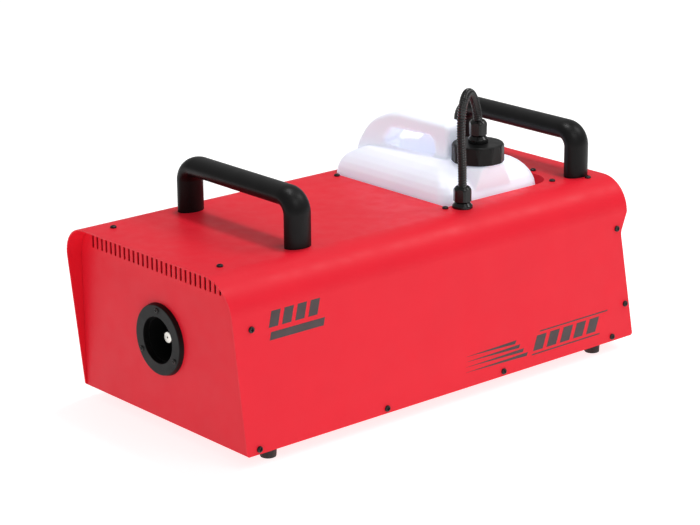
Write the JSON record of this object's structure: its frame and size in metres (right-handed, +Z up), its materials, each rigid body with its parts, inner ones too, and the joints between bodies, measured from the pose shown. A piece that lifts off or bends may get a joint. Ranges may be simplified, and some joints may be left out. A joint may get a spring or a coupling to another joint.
{
  "type": "fog machine",
  "caption": "Box-shaped fog machine with a front nozzle, a lift-out fluid tank fed through a hose, two carrying handles and a sloped rear control panel.",
  "frame": {"origin": "middle of the cover's footprint, on the ground under the feet", "axes": "+Z up, -Y the way the nozzle points, +X to the right for someone who faces the nozzle, so the machine's side with the tank's neck is +X"},
  "size_m": [0.2896, 0.5826, 0.3284],
  "materials": {
    "cover_paint": "satin powder coat",
    "moulded_black": "fine moulded texture",
    "cap_plastic": "satin moulded",
    "conduit_plastic": "satin extruded",
    "tank_plastic": "translucent blow moulded polyethylene",
    "black_screw": "black zinc",
    "zinc_steel": "zinc plated",
    "spring_steel": "bright drawn",
    "nozzle_black": "satin heat-proof black",
    "nozzle_metal": "turned",
    "foot_rubber": "matt moulded",
    "cast_aluminium": "as cast and folded",
    "element_steel": "stainless",
    "mineral_wool": "pressed mineral wool",
    "brass": "turned brass",
    "fitting_black": "satin moulded",
    "button_grey": "satin moulded",
    "rocker_red": "glossy moulded",
    "socket_metal": "nickel plated",
    "latch_metal": "nickel plated",
    "coil_plastic": "moulded",
    "fluid_tube": "translucent",
    "circuit_board": "solder mask",
    "transformer_iron": "varnished laminations"
  },
  "bodies": {
    "casing": {"base_pan": "cover_paint", "board_components": "coil_plastic", "board_standoffs": "zinc_steel", "contact_pins": "brass", "control_board": "circuit_board", "cover_gland_body": "cap_plastic", "cover_gland_locknut": "cap_plastic", "cover_gland_nut": "cap_plastic", "cover_screws": "black_screw", "data_in_socket": "socket_metal", "data_out_socket": "socket_metal", "delivery_tube": "fluid_tube", "display_window": "fitting_black", "feet": "foot_rubber", "fluid_conduit": "conduit_plastic", "foot_screws": "zinc_steel", "front_handle": "moulded_black", "front_panel": "cover_paint", "fuse_holder": "fitting_black", "handle_screws": "zinc_steel", "heater_brackets": "zinc_steel", "heater_case": "cast_aluminium", "heater_core": "cast_aluminium", "heater_elements": "element_steel", "heater_inlet": "brass", "heater_insulation": "mineral_wool", "nozzle_cup": "nozzle_black", "nozzle_ring": "nozzle_black", "nozzle_tip": "nozzle_metal", "panel_screws": "black_screw", "power_inlet": "fitting_black", "power_switch": "fitting_black", "pump_barrel": "coil_plastic", "pump_bracket": "zinc_steel", "pump_coil": "coil_plastic", "pump_dampers": "foot_rubber", "pump_spring": "spring_steel", "pump_yoke": "zinc_steel", "rear_handle": "moulded_black", "rear_panel": "cover_paint", "suction_tube": "fluid_tube", "tank_tray": "cover_paint", "thermal_cutout": "fitting_black", "top_cover": "cover_paint", "transformer": "transformer_iron"},
    "tank": {"tank_body": "tank_plastic"},
    "cap_gland": {"cap_gland_body": "cap_plastic", "cap_gland_nut": "cap_plastic", "cap_gland_locknut": "cap_plastic", "dip_tube": "fluid_tube", "suction_filter": "element_steel"},
    "cap": {"tank_cap": "cap_plastic"},
    "plunger": {"pump_plunger": "zinc_steel"},
    "fuse_cap": {"fuse_cap": "fitting_black"},
    "rocker": {"switch_rocker": "rocker_red"},
    "latch": {"socket_latch": "latch_metal"},
    "button_1": {"menu_button_1": "button_grey"},
    "button_2": {"menu_button_2": "button_grey"},
    "button_3": {"menu_button_3": "button_grey"},
    "button_4": {"menu_button_4": "button_grey"}
  },
  "joints": [
    {"name": "tank_lift", "type": "slide", "parent": "casing", "child": "tank", "axis": [0, 0, 1], "range_m": [0, 0.04], "deforming": ["fluid_conduit"]},
    {"name": "cap_rise", "type": "slide", "parent": "tank", "child": "cap_gland", "axis": [0, 0, 1], "range_m": [0, 0.00525], "deforming": ["fluid_conduit"]},
    {"name": "cap_turn", "type": "hinge", "parent": "cap_gland", "child": "cap", "pos_m": [0.054, 0.12851, 0.243], "axis": [0, 0, 1], "range_deg": [0, 540]},
    {"name": "pump_stroke", "type": "slide", "parent": "casing", "child": "plunger", "axis": [0, -1, 0], "range_m": [0, 0.0015], "stiffness_N_per_m": 300, "deforming": ["pump_spring"]},
    {"name": "fuse_cap_turn", "type": "hinge", "parent": "casing", "child": "fuse_cap", "pos_m": [0.096, 0.27714, 0.08575], "axis": [0, 0.9826, 0.1857], "range_deg": [0, 90]},
    {"name": "power_rocker", "type": "hinge", "parent": "casing", "child": "rocker", "pos_m": [0.05, 0.28149, 0.05197], "axis": [1, 0, 0], "range_deg": [-18, 0]},
    {"name": "latch_press", "type": "slide", "parent": "casing", "child": "latch", "axis": [0, -0.9826, -0.1857], "range_m": [0, 0.0015], "stiffness_N_per_m": 400},
    {"name": "button_1_press", "type": "slide", "parent": "casing", "child": "button_1", "axis": [0, -0.9826, -0.1857], "range_m": [0, 0.001], "stiffness_N_per_m": 400},
    {"name": "button_2_press", "type": "slide", "parent": "casing", "child": "button_2", "axis": [0, -0.9826, -0.1857], "range_m": [0, 0.001], "stiffness_N_per_m": 400},
    {"name": "button_3_press", "type": "slide", "parent": "casing", "child": "button_3", "axis": [0, -0.9826, -0.1857], "range_m": [0, 0.001], "stiffness_N_per_m": 400},
    {"name": "button_4_press", "type": "slide", "parent": "casing", "child": "button_4", "axis": [0, -0.9826, -0.1857], "range_m": [0, 0.001], "stiffness_N_per_m": 400}
  ],
  "couplings": [
    {"joint": "cap_turn", "follows": "cap_rise", "rad_per_m": 1795.2}
  ]
}
